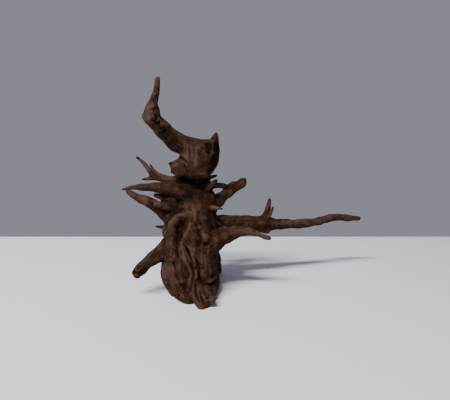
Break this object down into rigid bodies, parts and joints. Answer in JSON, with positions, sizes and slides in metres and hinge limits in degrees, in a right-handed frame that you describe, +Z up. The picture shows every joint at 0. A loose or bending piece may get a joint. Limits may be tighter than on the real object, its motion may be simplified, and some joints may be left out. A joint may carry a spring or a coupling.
{
  "type": "dry root",
  "caption": "Dry reddish-brown driftwood root standing upright, with a knobbly trunk, a bent horn on top and tapering side roots.",
  "frame": {"origin": "middle of the underside of the bounding box, on the ground the feet stand on", "axes": "+Z up, +X along the long side root away from the trunk, -Y towards the front with the hook ridge and the front foot"},
  "size_m": [0.3932, 0.1518, 0.3236],
  "materials": {
    "wood": "dry, matt, weathered grain"
  },
  "bodies": {
    "root": {"dry_root": "wood"}
  },
  "joints": []
}
